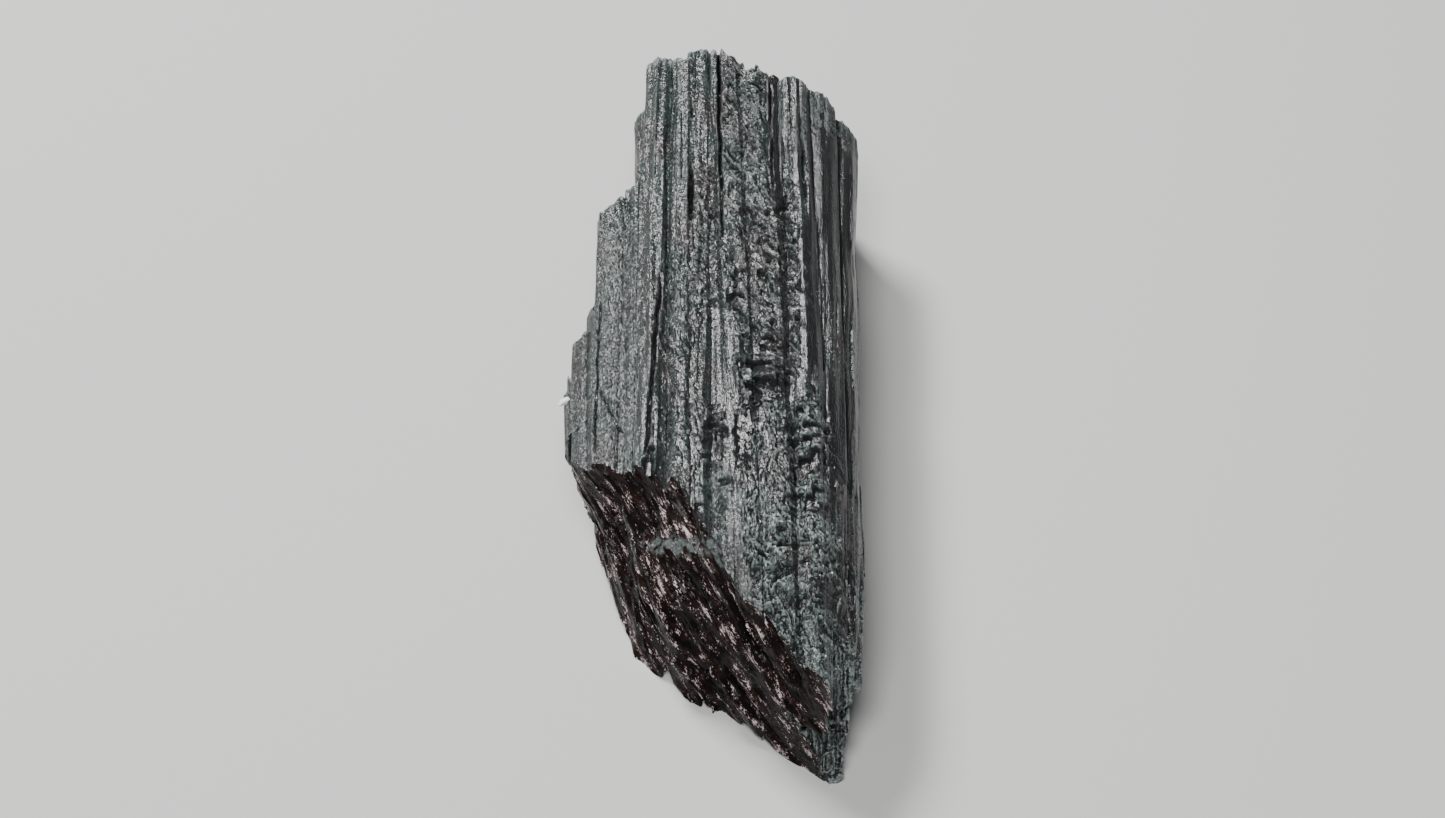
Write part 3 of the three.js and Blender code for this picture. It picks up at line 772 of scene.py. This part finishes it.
def mark_surface(whole):
    """Writes five numbers to each point, which the materials read: how frosted it is, or on the
    break how near the shelf, how much it stands out, and how etched, warm and glinting."""
    mesh = whole.data
    at = read(mesh.vertices, "co", 3) / METRES + MIDDLE
    x, y, z = at.T
    on_top = ease(8, 12, z)
    fresh_faces = read(mesh.polygons, "material_index", kind=np.int32) == 1
    fresh_corners = np.repeat(fresh_faces, read(mesh.polygons, "loop_total", kind=np.int32))
    corners = read(mesh.loops, "vertex_index", kind=np.int32)
    broken = np.bincount(corners, fresh_corners, len(at)) > 0
    down, there = shelf_at(*break_place(at))
    shelf = there * ease(-0.2, 0.1, down) * (1 - ease(SHELF_DROP, SHELF_DROP + 0.3, down))
    marks = {
        "frost": np.where(broken, shelf, frost_of(x, y, z, on_top)),
        # The materials read this to paint edges that stand out paler and hollows darker: partly
        # wear, partly painted highlight and painted shade.
        "wear": standing_out_of(mesh, at, read(mesh.vertices, "normal", 3)),
        "etched": on_top * etching(x, y)[1],
        "warmth": on_top * patched(x, y, WARMED, 0.0),
        "glint": on_top * patched(x, y, GLINTING, 0.0),
    }
    for label, values in marks.items():
        mark = mesh.attributes.new(label, "FLOAT", "POINT")
        mark.data.foreach_set("value", values.astype(np.float32))


def new_finish(name):
    """A new material, a function that adds a node to it, sets its values and links its inputs,
    and one that sets or links an input of its shader."""
    material = bpy.data.materials.new(name)
    material.use_nodes = True
    tree = material.node_tree
    shader = tree.nodes["Principled BSDF"]

    def add(kind, values=(), **links):
        node = tree.nodes.new("ShaderNode" + kind)
        for key, value in dict(values).items():
            if key in node.inputs.keys():
                node.inputs[key].default_value = value
            else:
                setattr(node, key, value)
        for key, source in links.items():
            socket = node.inputs[int(key[1:])] if key[1:].isdigit() else node.inputs[key]
            tree.links.new(source, socket)
        return node

    def wire(key, source):
        if isinstance(source, bpy.types.NodeSocket):
            tree.links.new(source, shader.inputs[key])
        else:
            shader.inputs[key].default_value = source

    return material, add, wire


def marked(add, *labels):
    """The sockets of the numbers that are marked on the surface under these labels."""
    return [add("Attribute", {"attribute_name": label}).outputs["Fac"] for label in labels]


def product(add, one, other):
    """The product of two sockets."""
    return add("Math", {"operation": "MULTIPLY"}, _0=one, _1=other).outputs[0]


def stretched_noise(add, place, sizes, detail=2.0, kind="TexNoise", turn=(0, 0, 0)):
    """A noise whose blots measure the given sizes in millimetres along x, y and z, or along those
    axes turned by the given degrees."""
    values = {"vector_type": "TEXTURE", "Scale": [size * METRES for size in sizes]}
    values["Rotation"] = [math.radians(angle) for angle in turn]
    mapped = add("Mapping", values, Vector=place)
    values = {"Scale": 1.0}
    if kind == "TexNoise":
        values["Detail"] = detail
    return add(kind, values, Vector=mapped.outputs[0])


def blend(add, share, low, high):
    """A colour between two, by a share from 0 to 1. Each is a colour or a socket."""
    mix = add("Mix", {"data_type": "RGBA"}, _0=share)
    for socket, colour in ((6, low), (7, high)):
        if isinstance(colour, tuple):
            mix.inputs[socket].default_value = (*colour, 1.0)
        else:
            mix.id_data.links.new(colour, mix.inputs[socket])
    return mix.outputs[2]


def ranged(add, value, low, high, to_low=0.0, to_high=1.0):
    """The value, moved from the range low to high into another and held inside it."""
    values = {"From Min": low, "From Max": high, "To Min": to_low, "To Max": to_high}
    return add("MapRange", values, Value=value).outputs[0]


def tilted_faces(add, place, sizes, tilt, turn=(0, 0, 0)):
    """A normal that is tilted at random, cell by cell, by the socket tilt: the tiny flat faces
    that glitter."""
    cells = stretched_noise(add, place, sizes, kind="TexVoronoi", turn=turn)
    centred = add("VectorMath", {"operation": "SUBTRACT"}, _0=cells.outputs["Color"])
    centred.inputs[1].default_value = (0.5, 0.5, 0.5)
    scaled = add("VectorMath", {"operation": "SCALE"}, _0=centred.outputs[0], Scale=tilt)
    normal = add("NewGeometry").outputs["Normal"]
    leaning = add("VectorMath", {"operation": "ADD"}, _0=normal, _1=scaled.outputs[0])
    return add("VectorMath", {"operation": "NORMALIZE"}, _0=leaning.outputs[0]).outputs[0]


def sum_of(add, *terms):
    """The sum of sockets, each with a factor: (socket, factor), and plain numbers."""
    total = None
    for term in terms:
        socket, factor = term if isinstance(term, tuple) else (None, term)
        node = add("Math", {"operation": "MULTIPLY_ADD"})
        node.inputs[1].default_value = factor if socket else 1.0
        if socket:
            node.id_data.links.new(socket, node.inputs[0])
        else:
            node.inputs[0].default_value = factor
        if total:
            node.id_data.links.new(total, node.inputs[2])
        else:
            node.inputs[2].default_value = 0.0
        total = node.outputs[0]
    return total


def weathered_stone():
    """Schorl as it grew and was etched: black and glossy where smooth, grey-green where frosted,
    warmer in patches, with glittering faces and fine ribs along y."""
    material, add, wire = new_finish("weathered_schorl")
    place = add("TexCoord").outputs["Object"]
    frost, wear, etched, warmth, glint = marked(add, "frost", "wear", "etched", "warmth", "glint")
    streak = stretched_noise(add, place, (0.28, 5.0, 0.28), 2.0).outputs[0]
    grain = stretched_noise(add, place, (0.18, 0.34, 0.18), 4.0).outputs[0]
    patch = stretched_noise(add, place, (3.0, 6.0, 3.0), 2.0).outputs[0]
    ribs = stretched_noise(add, place, (0.1, 0.9, 0.1), 3.0).outputs[0]

    # Frost comes in streaks, but not where it is etched, in grains, and on edges that stand out,
    # and
    # hollows stay black: partly wear, partly painted highlight on edges and painted shade in
    # hollows.
    matte = ranged(add, frost, 0.86, 0.98)
    plain = sum_of(add, (etched, -1.0), 1.0)
    streaked = product(add, ranged(add, streak, 0.35, 0.65), plain)
    grained = ranged(add, grain, 0.38, 0.62)
    uneven = sum_of(add, (streaked, 0.6), (grained, 0.8), (wear, 2.8), (etched, 0.2))
    dull_and_shading = product(add, frost, uneven)
    dull_and_shading = sum_of(add, (dull_and_shading, 1.0), (wear, 0.3), (matte, -0.25))
    share = ranged(add, dull_and_shading, 0.08, 0.8)

    # Its colour, from black to grey-green or brownish, and pale where it is worn most. The paleness
    # is partly painted highlight, on edges that stand out and where the surface glints.
    warm = ranged(add, sum_of(add, (patch, 1.0), (warmth, 0.3)), 0.48, 0.68, 0.0, 0.9)
    clouded = blend(add, share, SMOOTH_BLACK, blend(add, warm, FROST_GREY, FROST_WARM))
    pale = ranged(add, sum_of(add, (dull_and_shading, 1.0), (glint, 0.16)), 0.75, 1.6)
    wire("Base Color", blend(add, pale, clouded, WORN_AND_HIGHLIGHT_PALE))

    # Its gloss, and its tiny faces, which lean more the more it is frosted.
    rough = ranged(add, dull_and_shading, 0.0, 0.9, 0.16, 0.36)
    wire("Roughness", sum_of(add, (rough, 1.0), (matte, 0.14), (glint, -0.1)))
    glitter = ranged(add, grain, 0.45, 0.65, 0.5, 1.6)
    tilt = product(add, share, sum_of(add, (glitter, 1.0), (matte, 0.7), (glint, 0.15)))
    normal = tilted_faces(add, place, (0.19, 0.28, 0.19), tilt)
    height = sum_of(add, (ribs, 0.6), (grain, 0.9))
    bump = add("Bump", {"Strength": 0.8, "Distance": 0.0001}, Height=height, Normal=normal)
    wire("Normal", bump.outputs[0])
    wire("IOR", STONE_INDEX)
    return material


def fresh_stone():
    """Schorl as it breaks: glossy black and brown in slivers, with pale flecks on its ledges that
    are partly bruised edges and partly painted glints, and grey on the shelf."""
    material, add, wire = new_finish("broken_schorl")
    place = add("TexCoord").outputs["Object"]
    frost, wear = marked(add, "frost", "wear")
    patch, crust, speck, grit = (
        stretched_noise(add, place, sizes, detail, turn=SLIVER_TURN).outputs[0]
        for sizes, detail in (
            ((3.0, 1.2, 1.2), 3.0),
            ((1.9, 0.5, 0.6), 6.0),
            ((0.26, 0.10, 0.12), 3.0),
            ((0.3, 0.1, 0.12), 2.0),
        )
    )
    brown = blend(add, ranged(add, patch, 0.42, 0.68), FRESH_BLACK, FRESH_BROWN)
    # The pale flecks along the ledges are partly bruised edges and partly painted glints.
    bruise_and_glint = sum_of(add, (crust, 1.0), (speck, 1.0), (wear, 0.3), (patch, 0.8))
    share = ranged(add, bruise_and_glint, 1.56, 1.70)
    shelved = product(add, frost, ranged(add, crust, 0.4, 0.58))
    wire("Base Color", blend(add, shelved, blend(add, share, brown, BRUISE_AND_GLINT_PALE), SHELF_GREY))
    wire("Roughness", ranged(add, share, 0.0, 1.0, 0.2, 0.45))
    tilt = ranged(add, patch, 0.3, 0.7, 0.2, 0.9)
    normal = tilted_faces(add, place, (0.7, 0.2, 0.25), tilt, turn=SLIVER_TURN)
    bump = add("Bump", {"Strength": 0.5, "Distance": 0.00005}, Height=grit, Normal=normal)
    wire("Normal", bump.outputs[0])
    wire("IOR", STONE_INDEX)
    wire("Specular IOR Level", 0.06)
    return material


weathered, fresh = weathered_stone(), fresh_stone()
for crystal in crystals:
    crystal.data.materials.append(weathered)
broken_face = make_object("break", *break_block())
broken_face.data.materials.append(fresh)
ground = make_object("ground", *box_below(0.0))
ground.data.materials.append(weathered)

fan = join("tourmaline_fan", crystals, [broken_face, ground])
mark_surface(fan)
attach(fan, "root")
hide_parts("black_tourmaline")


# ---------------------------------------- the grain of feldspar
# One small white grain of the rock that the fan grew in is still stuck to its left flank. It is
# feldspar, longer than wide, with flat cleavage faces.

GRAIN_AT = (-15.55, -3.2, 13.3)
GRAIN_SIZE = (0.62, 0.30, 0.30)  # half its length, width and height
GRAIN_TURN = math.radians(34)  # it lies from lower left to upper right
GRAIN_GRID = (120, 80)  # points round it and along it
FELDSPAR_INDEX = 1.53  # feldspar's index of refraction
FELDSPAR_WHITE = (0.90, 0.89, 0.87)
FELDSPAR_CREAM = (0.62, 0.58, 0.50)


def grain_of_feldspar():
    """The grain as (points, quads, triangles): a sphere pushed out towards a box by raising its
    cosines to a power, stretched, cleaved by facets, and turned to its place."""
    columns, rows = GRAIN_GRID
    u = np.arange(columns)[None] * 2 * math.pi / columns
    v = np.linspace(-0.49, 0.49, rows)[:, None] * math.pi
    ball = np.stack([np.sin(v) * np.ones_like(u), np.cos(v) * np.cos(u), np.cos(v) * np.sin(u)], -1)
    boxed = ball / ((np.abs(ball) ** 3).sum(-1)[..., None]) ** (1 / 3)
    cleaved = flakes(ball[..., 0] * 1.4 + 5, ball[..., 1] * 1.2 + ball[..., 2] * 2.1, 61, 1.2)
    fine = facets(ball[..., 0] * 4 + ball[..., 2], ball[..., 1] * 4 - ball[..., 2], 67)
    x, y, z = (boxed * np.array(GRAIN_SIZE) * (1 + 0.12 * cleaved + 0.05 * fine)[..., None]).T
    c, s = math.cos(GRAIN_TURN), math.sin(GRAIN_TURN)
    points = np.stack([c * x - s * y, s * x + c * y, z]).T + np.array(GRAIN_AT)
    return tube(points[::-1])


def white_feldspar():
    """White feldspar, cream in places, a little waxy, with a fine grain."""
    material, add, wire = new_finish("white_feldspar")
    place = add("TexCoord").outputs["Object"]
    patch = stretched_noise(add, place, (0.3, 0.3, 0.3), 3.0).outputs[0]
    grit = stretched_noise(add, place, (0.06, 0.06, 0.06), 2.0).outputs[0]
    cream = ranged(add, patch, 0.45, 0.7)
    wire("Base Color", blend(add, cream, FELDSPAR_WHITE, FELDSPAR_CREAM))
    wire("Roughness", ranged(add, patch, 0.3, 0.7, 0.4, 0.6))
    bump = add("Bump", {"Strength": 0.4, "Distance": 0.00002}, Height=grit)
    wire("Normal", bump.outputs[0])
    wire("IOR", FELDSPAR_INDEX)
    return material


grain = make_object("feldspar_grain_dressed", *grain_of_feldspar())
grain.data.materials.append(white_feldspar())
grain.data.set_sharp_from_angle(angle=CREASE)
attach(grain, "root")
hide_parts("feldspar_grain")


# ---------------------------------------- floor, light and camera
# A plain pale floor, soft studio light from behind and above, and a camera that looks down on the
# upper side along the crystals.

VIEW_ELEVATION = 52.0
VIEW_DISTANCE = 0.350
VIEW_TARGET = (np.array([0.0, 0.0, 8.0]) - MIDDLE) * METRES
FRAME_PIXELS = 1445  # the width of the frame
PIXELS_PER_METRE = 10_000  # at the target
SENSOR_WIDTH = 36.0

FLOOR_WIDTH = 3.0
FLOOR_GREY = (0.52, 0.52, 0.51, 1.0)
ROOM_GREY = (0.08, 0.083, 0.085, 1.0)

bpy.ops.mesh.primitive_plane_add(size=FLOOR_WIDTH)
floor = bpy.context.object
floor.name = "floor"
pale, _, wire = new_finish("pale_floor")
wire("Base Color", FLOOR_GREY)
wire("Roughness", 0.9)
floor.data.materials.append(pale)


def aim(thing, where, target):
    """Puts a lamp or camera at a place and turns its -Z axis to the target."""
    thing.location = Vector(where)
    thing.rotation_euler = (Vector(target) - Vector(where)).to_track_quat("-Z", "Y").to_euler()


def softbox(name, azimuth, elevation, distance, size, power):
    """A square lamp that lights the fan from an azimuth (0 is behind it, 90 to its left) and an
    elevation, both in degrees."""
    lamp = bpy.data.lights.new(name, "AREA")
    lamp.size, lamp.energy = size, power
    made = bpy.data.objects.new(name, lamp)
    bpy.context.scene.collection.objects.link(made)
    turn, rise = math.radians(azimuth), math.radians(elevation)
    level = math.cos(rise)
    away = np.array([-math.sin(turn) * level, math.cos(turn) * level, math.sin(rise)])
    aim(made, VIEW_TARGET + distance * away, VIEW_TARGET)


softbox("key", azimuth=36, elevation=50, distance=0.55, size=0.13, power=4.6)
softbox("fill", azimuth=165, elevation=68, distance=0.55, size=0.2, power=3.0)

world = bpy.data.worlds.new("room")
world.use_nodes = True
world.node_tree.nodes["Background"].inputs["Color"].default_value = ROOM_GREY
bpy.context.scene.world = world

lens = bpy.data.cameras.new("camera")
lens.sensor_width = SENSOR_WIDTH
lens.lens = SENSOR_WIDTH * PIXELS_PER_METRE * VIEW_DISTANCE / FRAME_PIXELS
lens.clip_start = 0.01
camera = bpy.data.objects.new("camera", lens)
bpy.context.scene.collection.objects.link(camera)
rise = math.radians(VIEW_ELEVATION)
away = np.array([0, -math.cos(rise), math.sin(rise)])
aim(camera, VIEW_TARGET + VIEW_DISTANCE * away, VIEW_TARGET)
bpy.context.scene.camera = camera
